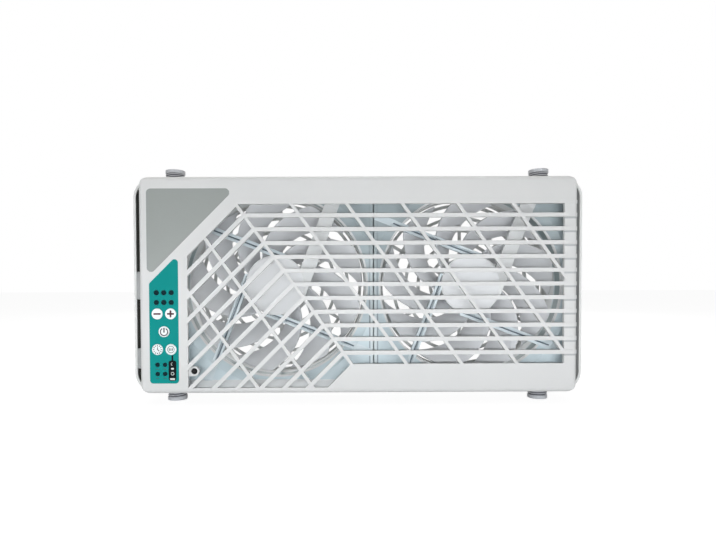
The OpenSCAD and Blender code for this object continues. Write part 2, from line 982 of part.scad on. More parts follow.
module ring(outer, inner, from, to) {
    translate([0, 0, from])
        difference() {
            cylinder(r = outer, h = to - from);
            translate([0, 0, -over])
                cylinder(r = inner, h = to - from + 2 * over);
        }
}

module narrow_strut(turn) {
    rotate(-turn)
        translate([0, strut_offset - strut_w / 2, strut_z])
            difference() {
                cube([strut_end, strut_w, strut_t]);
                translate([over, (strut_w - strut_groove) / 2, -over])
                    cube([strut_end, strut_groove, strut_t - strut_floor + over]);
            }
}

// Groove of a narrow strut, carried on across the flare and the flange
module flange_groove(turn) {
    rotate(-turn)
        translate([duct_r - strut_offset, strut_offset - strut_groove / 2, -over])
            cube([strut_end - duct_r, strut_groove, strut_z + strut_t - strut_floor + over]);
}

module cable_strut(turn) {
    channel_w = cable_strut_w - 3;
    rotate(-turn)
        translate([0, cable_offset - cable_strut_w / 2, strut_z])
            difference() {
                cube([strut_end, cable_strut_w, strut_t]);
                translate([over, (cable_strut_w - channel_w) / 2, strut_floor])
                    cube([strut_end, channel_w, strut_t]);
            }
}

// Space that the struts keep to: the air passage, and the frame's front flange
module strut_room() {
    cylinder(r = duct_out - 0.4, h = fan_d);
    linear_extrude(flange_t - 0.1)
        intersection() {
            circle(strut_end);
            square(fan_size - 2, center = true);
        }
}

// Straight passage for the lead, along the cable strut
module lead_passage(from, to) {
    rotate(-strut_turn)
        translate([from, cable_offset, lead_level])
            rotate([0, 90, 0])
                cylinder(r = lead_r + 0.15, h = to - from);
}

module fan_frame(i) {
    color([0.72, 0.79, 0.8])
        in_fan(i)
            difference() {
                union() {
                    difference() {
                        union() {
                            for (z = [0, fan_d - flange_t])
                                translate([0, 0, z])
                                    linear_extrude(flange_t)
                                        round_rect(fan_size, fan_size, fan_corner_r);
                            cylinder(r = duct_out, h = fan_d);
                        }
                        rotate_extrude()
                            polygon([
                                [0, -over], [flare_r, -over], [flare_r, 0], [duct_r, flare_d],
                                [duct_r, fan_d - 1.5], [duct_r + 0.6, fan_d],
                                [duct_r + 0.6, fan_d + over], [0, fan_d + over]
                            ]);
                        for (x = [-1, 1], y = [-1, 1])
                            translate([x * fan_holes / 2, y * fan_holes / 2, -over])
                                cylinder(r = fan_screw_r + run_gap, h = fan_d + 2 * over);
                        lead_passage(base_r, duct_out);
                        for (k = [1 : strut_count - 1])
                            flange_groove(strut_turn + k * 360 / strut_count);
                    }
                    intersection() {
                        strut_room();
                        union() {
                            cable_strut(strut_turn);
                            for (k = [1 : strut_count - 1])
                                narrow_strut(strut_turn + k * 360 / strut_count);
                        }
                    }
                    // Motor plate, its rim and the bearing tube
                    difference() {
                        translate([0, 0, strut_z])
                            cylinder(r = base_r, h = rim_back - strut_z);
                        lead_passage(0, base_r);
                        translate([0, 0, base_back])
                            cylinder(r = base_r - 1.5, h = rim_back);
                        translate([0, 0, base_back - 0.9])
                            cylinder(r = bearing_r, h = over);
                    }
                    ring(tube_r, bearing_r, base_back - 0.1, tube_end);
                }
                // Seat for the label
                translate([0, 0, strut_z - over])
                    cylinder(r = base_r - 1, h = label_t + over);
            }
}

module motor_label(i) {
    color([0.86, 0.87, 0.87])
        in_fan(i)
            translate([0, 0, strut_z])
                cylinder(r = base_r - 1 - run_gap, h = label_t);
}

module bearings(i) {
    color([0.7, 0.71, 0.73])
        in_fan(i)
            for (z = [rim_back, tube_end - bearing_h - 0.4])
                ring(bearing_r, shaft_r + run_gap, z, z + bearing_h);
}

module stator_core(i) {
    color([0.45, 0.46, 0.48])
        in_fan(i) {
            ring(tube_r + 3, tube_r, core_ends[0], core_ends[1]);
            for (k = [0 : core_arms - 1])
                rotate(45 + k * 360 / core_arms) {
                    translate([tube_r + 2, -arm_w / 2, core_ends[0]])
                        cube([core_r - tube_r - 3, arm_w, core_ends[1] - core_ends[0]]);
                    intersection() {
                        ring(core_r, core_r - shoe_t, core_ends[0], core_ends[1]);
                        translate([core_r / 2, -core_r / 2 - 1, 0])
                            cube([core_r, core_r + 2, fan_d]);
                    }
                }
        }
}

module stator_coils(i) {
    start = tube_r + 3.1;
    length = core_r - shoe_t - 1.4 - start;
    tall = core_ends[1] - core_ends[0] + 2 * coil_wall;
    color([0.72, 0.4, 0.2])
        in_fan(i)
            for (k = [0 : core_arms - 1])
                rotate(45 + k * 360 / core_arms)
                    difference() {
                        translate([start, -arm_w / 2 - coil_wall, coil_front])
                            cube([length, arm_w + 2 * coil_wall, tall]);
                        translate([start - over, -arm_w / 2, core_ends[0]])
                            cube([length + 2 * over, arm_w, core_ends[1] - core_ends[0]]);
                    }
}

module motor_board(i) {
    color([0.12, 0.4, 0.25])
        in_fan(i)
            ring(core_r - 0.4, tube_r + run_gap, coil_front - motor_board_t, coil_front);
}

module impeller(i) {
    color([0.66, 0.68, 0.69])
        in_fan(i)
            union() {
                rotate_extrude()
                    polygon([
                        [shaft_r, boss_front], [boss_r, boss_front], [boss_r, hub_face],
                        [hub_r - hub_wall, hub_face], [hub_r - hub_wall, hub_front], [hub_r, hub_front],
                        [hub_r, hub_back - hub_round], [hub_r - hub_round * 0.3, hub_back - hub_round * 0.3],
                        [hub_r - hub_round, hub_back], [0, hub_back], [0, hub_back - 0.8],
                        [shaft_r, hub_back - 0.8]
                    ]);
                for (k = [0 : blade_count - 1])
                    rotate((i == 0 ? blade_start_l : blade_start_r) + k * 360 / blade_count)
                        blade();
            }
}

// Blade: rows of points from hub to tip, each a thin curved section
function blade_share(r) = (r - blade_root) / (tip_r - blade_root);
function blade_mid(r) = blade_sweep * blade_share(r);
function blade_low(r) = blade_ends[0] + (blade_ends[1] - blade_ends[0]) * blade_set_back * blade_share(r);
function blade_high(r) =
    blade_ends[1] - (blade_ends[1] - blade_ends[0]) * (1 - blade_rise_tip) * blade_share(r);
function blade_point(r, t, side) =
    let (a = blade_mid(r) + (t - 0.5) * blade_cover * 360 / blade_count)
    let (camber = 1.6 * 4 * t * (1 - t))
    let (half = edge_t / 2 + (blade_t - edge_t) / 2 * 4 * t * (1 - t))
    [r * cos(a), r * sin(a), blade_low(r) + (blade_high(r) - blade_low(r)) * t - camber + side * half];

module blade() {
    n = blade_steps;
    per_row = 2 * (n + 1);
    rows = [for (j = [0 : blade_rows - 1]) blade_root + j * (tip_r - blade_root) / (blade_rows - 1)];
    points = [
        for (r = rows) each concat(
            [for (t = [0 : n]) blade_point(r, t / n, 1)],
            [for (t = [n : -1 : 0]) blade_point(r, t / n, -1)]
        )
    ];
    skin = [
        for (j = [0 : blade_rows - 2], m = [0 : per_row - 1])
            let (a = j * per_row + m, b = j * per_row + (m + 1) % per_row)
            each [[a, b, a + per_row], [b, b + per_row, a + per_row]]
    ];
    last = (blade_rows - 1) * per_row;
    caps = [
        for (m = [0 : n - 1])
            let (o = per_row - 1 - m)
            each [
                [m, o, m + 1], [m + 1, o, o - 1],
                [last + m, last + m + 1, last + o], [last + m + 1, last + o - 1, last + o]
            ]
    ];
    polyhedron(points, concat(skin, caps));
}

module rotor_yoke(i) {
    color([0.55, 0.56, 0.58])
        in_fan(i) {
            ring(yoke_r, yoke_r - yoke_t, hub_front + 0.2, hub_face);
            ring(yoke_r - yoke_t / 2, boss_r, hub_face - yoke_t, hub_face);
        }
}

module magnet_ring(i) {
    color([0.2, 0.2, 0.21])
        in_fan(i)
            ring(magnet_r, magnet_r - magnet_t, magnet_ends[0], magnet_ends[1]);
}

module shaft(i) {
    color([0.78, 0.79, 0.8])
        in_fan(i)
            difference() {
                translate([0, 0, 2.6])
                    cylinder(r = shaft_r, h = hub_back - 0.8 - 2.6);
                ring(shaft_r + over, shaft_r - 0.3, ring_groove[0], ring_groove[1]);
            }
}

module retaining_ring(i) {
    color([0.5, 0.5, 0.52])
        in_fan(i)
            ring(shaft_r + 1.3, shaft_r - 0.3, ring_groove[0], ring_groove[1]);
}

// Foot's own frame: local Z runs outwards from the housing's middle
module at_foot(side, up) {
    translate([side * foot_x, dy(foot_depth), mid_z])
        rotate([up > 0 ? 0 : 180, 0, 0])
            translate([0, 0, cover_h / 2])
                children();
}

module foot_inserts() {
    color([0.7, 0.62, 0.4])
        for (side = [-1, 1], up = [-1, 1])
            at_foot(side, up)
                difference() {
                    union() {
                        translate([0, 0, -wall_t - collar_t])
                            cylinder(r = collar_r, h = collar_t);
                        translate([0, 0, -thread_in - 0.2 - insert_floor])
                            cylinder(r = insert_r, h = thread_in + 0.2 + insert_floor - wall_t);
                    }
                    translate([0, 0, -thread_in - 0.2])
                        cylinder(r = thread_r + run_gap, h = thread_in + over);
                }
}

module foot_pad(side, up) {
    color([0.6, 0.6, 0.62])
        at_foot(side, up)
            difference() {
                translate([0, 0, foot_out - pad_t])
                    cylinder(r = foot_r, h = pad_t);
                translate([0, 0, foot_out - pad_t - over])
                    cylinder(r = spigot_r + run_gap, h = spigot_h + pad_gap + over);
            }
}

module foot_stud(side, up) {
    top = foot_out - pad_t - pad_gap;
    color([0.62, 0.62, 0.64])
        at_foot(side, up) {
            translate([0, 0, -thread_in])
                cylinder(r = thread_r, h = thread_in + top);
            translate([0, 0, top - over])
                cylinder(r = spigot_r, h = over + spigot_h);
        }
}

front_cover();
badge_plate();
control_overlay();
key(0);  // key_minus
key(1);  // key_plus
key(2);  // key_power
key(3);  // key_timer
key(4);  // key_mode
control_board();
tact_switches();
speed_leds();
timer_leds();
ir_receiver();
rear_housing();
rear_guard(0);  // guard_left
rear_guard(1);  // guard_right
seal_left();
seal_right();
cover_clips();
cover_screws();
board_screws();
fan_screws();
dc_inlet();
dc_pin();
fan_frame(0);  // fan_frame_left
impeller(0);  // impeller_left
rotor_yoke(0);  // rotor_yoke_left
magnet_ring(0);  // magnet_ring_left
shaft(0);  // shaft_left
bearings(0);  // bearings_left
retaining_ring(0);  // retaining_ring_left
stator_core(0);  // stator_core_left
stator_coils(0);  // stator_coils_left
motor_board(0);  // motor_board_left
motor_label(0);  // motor_label_left
fan_frame(1);  // fan_frame_right
impeller(1);  // impeller_right
rotor_yoke(1);  // rotor_yoke_right
magnet_ring(1);  // magnet_ring_right
shaft(1);  // shaft_right
bearings(1);  // bearings_right
retaining_ring(1);  // retaining_ring_right
stator_core(1);  // stator_core_right
stator_coils(1);  // stator_coils_right
motor_board(1);  // motor_board_right
motor_label(1);  // motor_label_right
fan_lead(0);  // fan_lead_left
fan_lead(1);  // fan_lead_right
power_lead();
foot_inserts();
foot_pad(-1, 1);  // foot_pad_tl
foot_pad(1, 1);  // foot_pad_tr
foot_pad(-1, -1);  // foot_pad_bl
foot_pad(1, -1);  // foot_pad_br
foot_stud(-1, 1);  // foot_stud_tl
foot_stud(1, 1);  // foot_stud_tr
foot_stud(-1, -1);  // foot_stud_bl
foot_stud(1, -1);  // foot_stud_br
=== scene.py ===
"""Looks of the roof vent fan: materials, printed signs, threads, blades, lights and camera."""

import json
import math

import bmesh
import bpy
from mathutils import Matrix, Vector


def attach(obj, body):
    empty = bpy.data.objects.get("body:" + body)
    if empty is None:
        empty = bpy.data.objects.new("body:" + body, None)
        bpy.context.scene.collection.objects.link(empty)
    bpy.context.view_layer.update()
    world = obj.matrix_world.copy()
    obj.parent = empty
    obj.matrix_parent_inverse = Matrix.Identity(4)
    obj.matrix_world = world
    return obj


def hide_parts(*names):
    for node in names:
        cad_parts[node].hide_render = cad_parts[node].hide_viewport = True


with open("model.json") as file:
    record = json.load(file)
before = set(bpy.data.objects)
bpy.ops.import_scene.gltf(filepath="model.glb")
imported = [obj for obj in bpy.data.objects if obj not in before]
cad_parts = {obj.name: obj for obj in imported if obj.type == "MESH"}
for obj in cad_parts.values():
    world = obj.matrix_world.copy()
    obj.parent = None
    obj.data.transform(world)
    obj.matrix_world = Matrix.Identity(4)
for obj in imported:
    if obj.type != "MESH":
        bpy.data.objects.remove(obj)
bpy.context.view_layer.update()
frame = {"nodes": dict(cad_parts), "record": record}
nodes = frame["nodes"]

MM = 0.001

# Cover, key panel and grille
FRONT_Y = -23 * MM
MID_Z = 84.5 * MM
COVER_HALF_H = 76 * MM
PANEL_X = -136.2 * MM
OVERLAY_LOW_Z = MID_Z - 68.7 * MM
OVERLAY_Y = FRONT_Y + 0.85 * MM
KEY_FACE_Y = FRONT_Y + 0.65 * MM
TOP_BAR_Z = MID_Z + 48.5 * MM
BAR_PITCH = 9.6 * MM
BAR_COUNT = 11
BORDER_X = 143 * MM
BORDER_FADE = 1.5 * MM
BORDER_DEPTH = 1.6 * MM
SILL_ENDS_X = (-124 * MM, -8 * MM)

# Fan frames
FAN_X = {"left": -59.3 * MM, "right": 81.5 * MM}
FAN_FRONT_Y = FRONT_Y + 9.8 * MM
JUNCTION_X = (FAN_X["left"] + FAN_X["right"]) / 2
STRUT_TURN = 69
CABLE_OFFSET = 17.5 * MM
CABLE_STRUT_W = 10.2 * MM
PLATE_R = 21.5 * MM
LIT_RIM_R = (65.0 * MM, 66.6 * MM)
DUCT_R = 65.6 * MM
DUCT_WALL = 1.5 * MM
DUCT_REAR = 13 * MM
STRUT_OFFSET = 21 * MM
STRUT_W = 5 * MM
GROOVE_SHADE_W = 1.0 * MM
STRUT_DEPTH = 3.6 * MM
FACE_DEPTH = 4 * MM

# Blades
BLADE_START = {"left": 12.5, "right": 19}
BLADE_COUNT = 9
BLADE_STEP = 40
BLADE_SWEEP = 55
BLADE_COVER = 0.69
BLADE_R = (20.0 * MM, 63.0 * MM)
BLADE_THICK = 1.3 * MM

# Feet
FOOT_X = 134.3 * MM
FOOT_Y = FRONT_Y + 22.3 * MM
THREAD_PITCH = 1.5 * MM
THREAD_ROOT_R = 6.0 * MM
THREAD_CREST_R = 6.85 * MM


def tone(red, green, blue):
    """Colour as it is seen, turned into the values that the shader works with."""
    return tuple(((c / 255 + 0.055) / 1.055) ** 2.4 for c in (red, green, blue)) + (1.0,)


# Nodes


def start_group(name, inputs, outputs):
    """New node group with named inputs and outputs."""
    group = bpy.data.node_groups.new(name, "ShaderNodeTree")
    for label, kind, value in inputs:
        socket = group.interface.new_socket(label, in_out="INPUT", socket_type=kind)
        if value is not None:
            socket.default_value = value
    for label, kind in outputs:
        group.interface.new_socket(label, in_out="OUTPUT", socket_type=kind)
    tree = group.nodes
    return group, tree.new("NodeGroupInput"), tree.new("NodeGroupOutput")


def start_masks(name, *labels):
    """New node group that turns a position into one or more masks; also gives the position's parts."""
    group, given, result = start_group(
        name, [("Position", "NodeSocketVector", None)], [(label, "NodeSocketFloat") for label in labels]
    )
    return group, parts_of(group, given.outputs["Position"]), result


def parts_of(tree, vector):
    """The X, Y and Z of a vector."""
    split = tree.nodes.new("ShaderNodeSeparateXYZ")
    tree.links.new(vector, split.inputs[0])
    return split.outputs["X"], split.outputs["Y"], split.outputs["Z"]


def noise(tree, vector, scale, detail=3.0, roughness=0.55):
    """Cloudy pattern between 0 and 1."""
    node = tree.nodes.new("ShaderNodeTexNoise")
    node.inputs["Detail"].default_value = detail
    node.inputs["Roughness"].default_value = roughness
    if isinstance(scale, (int, float)):
        node.inputs["Scale"].default_value = scale
    else:
        tree.links.new(scale, node.inputs["Scale"])
    tree.links.new(vector, node.inputs["Vector"])
    return node.outputs["Fac"]


def calculate(tree, operation, first, second=None):
    """Result of one operation on numbers or sockets."""
    node = tree.nodes.new("ShaderNodeMath")
    node.operation = operation
    for socket, value in zip(node.inputs, (first, second)):
        if isinstance(value, (int, float)):
            socket.default_value = value
        elif value is not None:
            tree.links.new(value, socket)
    return node.outputs["Value"]


def product(tree, *values):
    """All values multiplied; of masks, where all of them hold."""
    result = values[0]
    for value in values[1:]:
        result = calculate(tree, "MULTIPLY", result, value)
    return result


def band_of(tree, value, middle, half):
    """1 where the value is within half of middle, otherwise 0."""
    off = calculate(tree, "ABSOLUTE", calculate(tree, "SUBTRACT", value, middle))
    return calculate(tree, "LESS_THAN", off, half)


def spread(tree, value, source, target=(0.0, 1.0)):
    """Value carried from one range of numbers to another."""
    node = tree.nodes.new("ShaderNodeMapRange")
    for label, number in zip(("From Min", "From Max", "To Min", "To Max"), source + target):
        node.inputs[label].default_value = number
    tree.links.new(value, node.inputs["Value"])
    return node.outputs["Result"]


def colour_mix(tree, factor, first, second):
    """Blend of two colours."""
    node = tree.nodes.new("ShaderNodeMix")
    node.data_type = "RGBA"
    node.blend_type = "MIX"
    for socket, value in ((node.inputs[0], factor), (node.inputs[6], first), (node.inputs[7], second)):
        if isinstance(value, tuple):
            socket.default_value = value
        else:
            tree.links.new(value, socket)
    return node.outputs[2]


# Surfaces that several materials share


def moulded_group():
    """Moulded plastic: cloudy tone, fine spark-eroded grain and handling marks."""
    group, given, result = start_group(
        "Moulded surface",
        [
            ("Position", "NodeSocketVector", None),
            ("Colour", "NodeSocketColor", (0.8, 0.8, 0.8, 1)),
            ("Shade", "NodeSocketColor", (0.7, 0.7, 0.7, 1)),
            ("Grain scale", "NodeSocketFloat", 900.0),
            ("Roughness", "NodeSocketFloat", 0.45),
        ],
        [("Colour", "NodeSocketColor"), ("Roughness", "NodeSocketFloat"), ("Height", "NodeSocketFloat")],
    )
    cloud_share, speck_share = 0.45, 0.12
    place = given.outputs["Position"]
    cloud = spread(group, noise(group, place, 22.0, 4.0), (0.35, 0.7))
    speck = spread(group, noise(group, place, 240.0, 5.0, 0.7), (0.62, 0.72), (0.0, 0.5))
    mottle = calculate(group, "ADD", product(group, cloud, cloud_share), product(group, speck, speck_share))
    face = colour_mix(group, mottle, given.outputs["Colour"], given.outputs["Shade"])
    rubbed = spread(group, noise(group, place, 70.0, 6.0, 0.65), (0.3, 0.75), (-0.07, 0.09))
    grain = noise(group, place, given.outputs["Grain scale"], 2.0, 0.6)
    group.links.new(face, result.inputs["Colour"])
    group.links.new(calculate(group, "ADD", given.outputs["Roughness"], rubbed), result.inputs["Roughness"])
    group.links.new(grain, result.inputs["Height"])
    return group


def dust_group():
    """Fine dust that settles on what faces up, as a mask."""
    group, given, result = start_group(
        "Settled dust",
        [
            ("Position", "NodeSocketVector", None),
            ("Facing", "NodeSocketVector", None),
            ("Amount", "NodeSocketFloat", 0.3),
        ],
        [("Mask", "NodeSocketFloat")],
    )
    facing_up = parts_of(group, given.outputs["Facing"])[2]
    up = spread(group, facing_up, (0.2, 1.0))
    patch = spread(group, noise(group, given.outputs["Position"], 60.0, 6.0, 0.7), (0.35, 0.7), (0.2, 1.0))
    group.links.new(product(group, up, patch, given.outputs["Amount"]), result.inputs["Mask"])
    return group


def brushed_group():
    """Drawn or ground metal: fine streaks along one direction."""
    group, given, result = start_group(
        "Drawn metal",
        [
            ("Position", "NodeSocketVector", None),
            ("Colour", "NodeSocketColor", (0.6, 0.6, 0.6, 1)),
            ("Streak", "NodeSocketVector", (1, 1, 40)),
            ("Roughness", "NodeSocketFloat", 0.3),
        ],
        [("Colour", "NodeSocketColor"), ("Roughness", "NodeSocketFloat"), ("Height", "NodeSocketFloat")],
    )
    stain_colour = (0.22, 0.21, 0.2, 1)
    stretch = group.nodes.new("ShaderNodeVectorMath")
    stretch.operation = "MULTIPLY"
    group.links.new(given.outputs["Position"], stretch.inputs[0])
    group.links.new(given.outputs["Streak"], stretch.inputs[1])
    streaks = noise(group, stretch.outputs["Vector"], 160.0, 5.0, 0.7)
    stain = spread(group, noise(group, given.outputs["Position"], 90.0, 4.0), (0.4, 0.7), (0.0, 0.35))
    wander = spread(group, streaks, (0.3, 0.7), (-0.1, 0.12))
    group.links.new(
        colour_mix(group, stain, given.outputs["Colour"], stain_colour), result.inputs["Colour"]
    )
    group.links.new(calculate(group, "ADD", given.outputs["Roughness"], wander), result.inputs["Roughness"])
    group.links.new(streaks, result.inputs["Height"])
    return group


# Masks for the fan frames, the grille, the seals and the threads


def within_fan(group, parts):
    """Place within the nearer fan: along and beside its broad strut, square of the radius, and depth."""
    on_right = calculate(group, "GREATER_THAN", parts[0], JUNCTION_X)
    centre = spread(group, on_right, (0.0, 1.0), (FAN_X["left"], FAN_X["right"]))
    x = calculate(group, "SUBTRACT", parts[0], centre)
    z = calculate(group, "SUBTRACT", parts[2], MID_Z)
    cosine, sine = math.cos(math.radians(STRUT_TURN)), math.sin(math.radians(STRUT_TURN))
    along = calculate(group, "ADD", product(group, x, cosine), product(group, z, sine))
    beside = calculate(group, "SUBTRACT", product(group, x, sine), product(group, z, cosine))
    reach = calculate(group, "ADD", product(group, along, along), product(group, beside, beside))
    depth = calculate(group, "SUBTRACT", parts[1], FAN_FRONT_Y)
    return along, beside, reach, depth


def plate_and_lit_rim_group():
    """The motor plate and the broad strut that hides the lead, in their own tone, and the rim of the
    opening, where that tone is a painted highlight, as a mask.
    """
    group, parts, result = start_masks("Plate, broad strut and painted rim highlight", "Mask")
    along, beside, reach, depth = within_fan(group, parts)
    on_strut = band_of(group, beside, CABLE_OFFSET, CABLE_STRUT_W / 2)
    strut = product(group, on_strut, calculate(group, "GREATER_THAN", along, 0.0))
    plate = calculate(group, "LESS_THAN", reach, PLATE_R * PLATE_R)
    inner, outer = (radius ** 2 for radius in LIT_RIM_R)
    rim = band_of(group, reach, (inner + outer) / 2, (outer - inner) / 2)
    either = calculate(group, "MAXIMUM", calculate(group, "MAXIMUM", strut, plate), rim)
    front = calculate(group, "LESS_THAN", depth, FACE_DEPTH)
    group.links.new(product(group, either, front), result.inputs["Mask"])
    return group


def duct_shade_and_light_group():
    """The wall of the air passage: painted shade on its front part and painted light on its pale rear part,
    as two masks.
    """
    group, parts, result = start_masks("Painted shade and light on the passage wall", "Front", "Rear")
    shade_middle, shade_half = 7.5 * MM, 4.0 * MM
    reach, depth = within_fan(group, parts)[2:]
    inside = calculate(group, "LESS_THAN", reach, DUCT_R * DUCT_R)
    outer = calculate(group, "GREATER_THAN", reach, (DUCT_R - DUCT_WALL) ** 2)
    front = product(group, inside, outer, band_of(group, depth, shade_middle, shade_half))
    rear = product(group, inside, outer, calculate(group, "GREATER_THAN", depth, DUCT_REAR))
    group.links.new(front, result.inputs["Front"])
    group.links.new(rear, result.inputs["Rear"])
    return group


def strut_light_and_shade_group():
    """The three narrow struts of each fan: their front edges, painted paler as a highlight, and the groove
    along them, painted as shade, as two masks.
    """
    group, parts, result = start_masks("Painted light and shade on the narrow struts", "Edges", "Groove")
    half_strut, groove_from = STRUT_W / 2 + 0.05 * MM, 0.4 * MM
    along, beside, reach, depth = within_fan(group, parts)
    outside_plate = calculate(group, "GREATER_THAN", reach, PLATE_R * PLATE_R)
    edges, grooves = [], []
    for across, side, run, way in (
        (along, 1, beside, "LESS_THAN"),
        (beside, -1, along, "LESS_THAN"),
        (along, -1, beside, "GREATER_THAN"),
    ):
        runs = product(group, calculate(group, way, run, 0.0), outside_plate)
        edges.append(product(group, runs, band_of(group, across, side * STRUT_OFFSET, half_strut)))
        grooves.append(product(group, runs, band_of(group, across, side * STRUT_OFFSET, GROOVE_SHADE_W / 2)))
    front = calculate(group, "LESS_THAN", depth, STRUT_DEPTH)
    shaded_groove_depth = product(group, calculate(group, "GREATER_THAN", depth, groove_from), front)
    for masks, limit, label in ((edges, front, "Edges"), (grooves, shaded_groove_depth, "Groove")):
        any_strut = calculate(group, "MAXIMUM", calculate(group, "MAXIMUM", masks[0], masks[1]), masks[2])
        group.links.new(product(group, any_strut, limit), result.inputs[label])
    return group


def frame_light_and_shade_group():
    """Where the fan frames meet, a pale lip painted as a highlight and a painted shade line beside it; the
    low edge, painted light; and painted shade deepening towards the top.
    """
    group, (x, y, z), result = start_masks("Painted light and shade on the frames", "Highlit lip", "Line", "Lit low edge", "Top")
    highlight_half, shade_line_middle, shade_line_half = 2.3 * MM, 2.8 * MM, 0.5 * MM
    lit_edge_z = MID_Z - 68.0 * MM
    shade_from, shade_to, shade_share = MID_Z - 30 * MM, MID_Z + 45 * MM, 0.9
    front = calculate(group, "LESS_THAN", y, FAN_FRONT_Y + FACE_DEPTH)
    off = calculate(group, "ABSOLUTE", calculate(group, "SUBTRACT", x, JUNCTION_X))
    for label, mask in (
        ("Highlit lip", calculate(group, "LESS_THAN", off, highlight_half)),
        ("Line", band_of(group, off, shade_line_middle, shade_line_half)),
        ("Lit low edge", calculate(group, "LESS_THAN", z, lit_edge_z)),
        ("Top", spread(group, z, (shade_from, shade_to), (0.0, shade_share))),
    ):
        group.links.new(product(group, front, mask), result.inputs[label])
    return group


def lit_right_half_group():
    """The object's right half, as a mask; it makes the right seal lighter as painted light."""
    group, parts, result = start_masks("Painted light on the right half", "Mask")
    group.links.new(calculate(group, "GREATER_THAN", parts[0], 0.0), result.inputs["Mask"])
    return group


def thread_root_shade_group():
    """Painted shade in the bottom of the thread of each foot, as a mask."""
    group, parts, result = start_masks("Painted shade in the thread root", "Mask")
    across = calculate(group, "SUBTRACT", calculate(group, "ABSOLUTE", parts[0]), FOOT_X)
    back = calculate(group, "SUBTRACT", parts[1], FOOT_Y)
    square = calculate(group, "ADD", product(group, across, across), product(group, back, back))
    reach = calculate(group, "SQRT", square)
    root = spread(group, reach, (THREAD_ROOT_R, THREAD_CREST_R), (1.0, 0.0))
    group.links.new(root, result.inputs["Mask"])
    return group


def bar_shade_group():
    """Painted shade along the low side of each bar where it runs on over the right border, as a mask."""
    group, (x, y, z), result = start_masks("Painted shade under the bars", "Mask")
    shade_place, shade_fade = 0.21, (0.03, 0.1)
    bars_down = spread(group, z, (TOP_BAR_Z, TOP_BAR_Z - BAR_PITCH))
    bars_down.node.clamp = False
    within_pitch = calculate(group, "FRACT", bars_down)
    off = calculate(group, "ABSOLUTE", calculate(group, "SUBTRACT", within_pitch, shade_place))
    line = spread(group, off, shade_fade, (1.0, 0.0))
    below_first = calculate(group, "GREATER_THAN", bars_down, 0.0)
    above_last = calculate(group, "LESS_THAN", bars_down, BAR_COUNT - 0.5)
    border = spread(group, x, (BORDER_X, BORDER_X + BORDER_FADE))
    front = calculate(group, "LESS_THAN", y, FRONT_Y + BORDER_DEPTH)
    group.links.new(product(group, line, below_first, above_last, border, front), result.inputs["Mask"])
    return group


MOULDED = moulded_group()
DUST = dust_group()
BRUSHED = brushed_group()
PLATE = plate_and_lit_rim_group()
STRUT_LIGHT_AND_SHADE = strut_light_and_shade_group()
DUCT = duct_shade_and_light_group()
FRAME_LIGHT_AND_SHADE = frame_light_and_shade_group()
LIT_RIGHT_HALF = lit_right_half_group()
BAR_SHADE = bar_shade_group()
THREAD_ROOT = thread_root_shade_group()


# Materials

DUST_TONE = (168, 163, 154)
GRAIN_HEIGHT = 0.00004
STREAK_HEIGHT = 0.00003


def start_material(name):
    """New material, with its shader and the position on the object."""
    material = bpy.data.materials.new(name)
    material.use_nodes = True
    tree = material.node_tree
    shader = tree.nodes["Principled BSDF"]
    place = tree.nodes.new("ShaderNodeTexCoord").outputs["Object"]
    return material, tree, shader, place


def place_group(tree, group, **values):
    """A node group placed in a material, with its inputs set or linked."""
    node = tree.nodes.new("ShaderNodeGroup")
    node.node_tree = group
    for label, value in values.items():
        socket = node.inputs[label.replace("_", " ")]
        if isinstance(value, bpy.types.NodeSocket):
            tree.links.new(value, socket)
        else:
            socket.default_value = value
    return node


def add_bump(tree, shader, height, strength, distance):
    """Relief on a surface."""
    bump = tree.nodes.new("ShaderNodeBump")
    bump.inputs["Strength"].default_value = strength
    bump.inputs["Distance"].default_value = distance
    tree.links.new(height, bump.inputs["Height"])
    tree.links.new(bump.outputs["Normal"], shader.inputs["Normal"])


finish = {}


def plastic(
    name, light, dark, rough=0.45, grain=900.0, depth=0.25, dust=0.0, gloss=0.5, sheen=0.0, layers=()
):
    """Moulded plastic; each layer is a mask group, its output, and the two tones inside that mask."""
    material, tree, shader, place = start_material(name)
    skin = place_group(
        tree, MOULDED, Position=place, Colour=tone(*light), Shade=tone(*dark),
        Grain_scale=grain, Roughness=rough,
    )
    face = skin.outputs["Colour"]
    for group, label, layer_light, layer_dark in layers:
        inside = place_group(tree, group, Position=place).outputs[label]
        clouds = spread(tree, noise(tree, place, 30.0), (0.3, 0.7))
        layer = colour_mix(tree, clouds, tone(*layer_light), tone(*layer_dark))
        face = colour_mix(tree, inside, face, layer)
    if dust:
        facing = tree.nodes.new("ShaderNodeNewGeometry").outputs["Normal"]
        mask = place_group(tree, DUST, Position=place, Facing=facing, Amount=dust).outputs["Mask"]
        face = colour_mix(tree, mask, face, tone(*DUST_TONE))
    tree.links.new(face, shader.inputs["Base Color"])
    tree.links.new(skin.outputs["Roughness"], shader.inputs["Roughness"])
    shader.inputs["Specular IOR Level"].default_value = gloss
    if sheen:
        shader.inputs["Coat Weight"].default_value = sheen
        shader.inputs["Coat Roughness"].default_value = 0.2
    add_bump(tree, shader, skin.outputs["Height"], depth, GRAIN_HEIGHT)
    finish[name] = material


def metal(name, colour, streak=(1.0, 1.0, 30.0), rough=0.3, depth=0.2):
    """Drawn or ground metal."""
    material, tree, shader, place = start_material(name)
    skin = place_group(
        tree, BRUSHED, Position=place, Colour=tone(*colour), Streak=streak, Roughness=rough
    )
    tree.links.new(skin.outputs["Colour"], shader.inputs["Base Color"])
    tree.links.new(skin.outputs["Roughness"], shader.inputs["Roughness"])
    shader.inputs["Metallic"].default_value = 1.0
    add_bump(tree, shader, skin.outputs["Height"], depth, STREAK_HEIGHT)
    finish[name] = material


